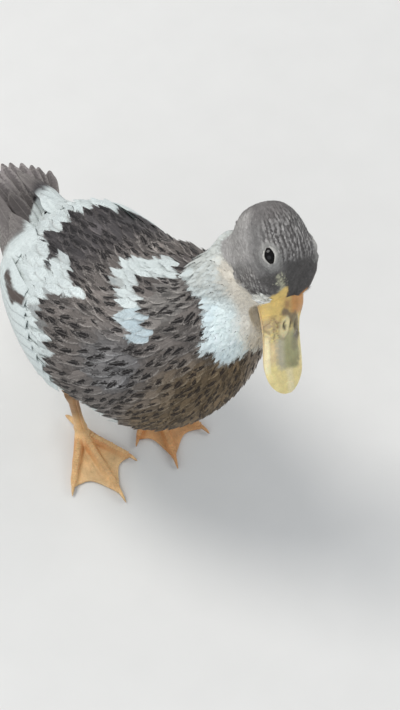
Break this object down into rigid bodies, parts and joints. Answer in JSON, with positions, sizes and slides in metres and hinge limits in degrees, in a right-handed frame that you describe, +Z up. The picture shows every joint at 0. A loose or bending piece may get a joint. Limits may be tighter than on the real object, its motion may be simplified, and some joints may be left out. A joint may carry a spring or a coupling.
{
  "type": "silver appleyard duck",
  "caption": "Life-size standing duck with a stout body, folded wings, fanned tail, broad flat bill, webbed feet and its head turned and tipped to one side.",
  "frame": {"origin": "middle of the bounding box's base, on the floor that the duck stands on", "axes": "+Z up; the duck's body faces -Y and its left side is at +X"},
  "size_m": [0.1336, 0.2842, 0.2444],
  "materials": {
    "mottled_feather": "matt mottled body feathers",
    "white_feather": "matt white feathers",
    "grey_feather": "matt short head feathers",
    "tail_feather": "matt flight and tail feathers",
    "bill_horn": "waxy skin over bone",
    "leg_skin": "scaled skin",
    "eye": "wet cornea"
  },
  "bodies": {
    "root": {"torso": "mottled_feather", "neck": "white_feather", "head": "grey_feather", "bill_upper": "bill_horn", "bill_lower": "bill_horn", "tail": "tail_feather", "eye_left": "eye", "wing_left": "mottled_feather", "thigh_left": "mottled_feather", "shank_left": "leg_skin", "foot_left": "leg_skin", "eye_right": "eye", "wing_right": "mottled_feather", "thigh_right": "mottled_feather", "shank_right": "leg_skin", "foot_right": "leg_skin"}
  },
  "joints": []
}
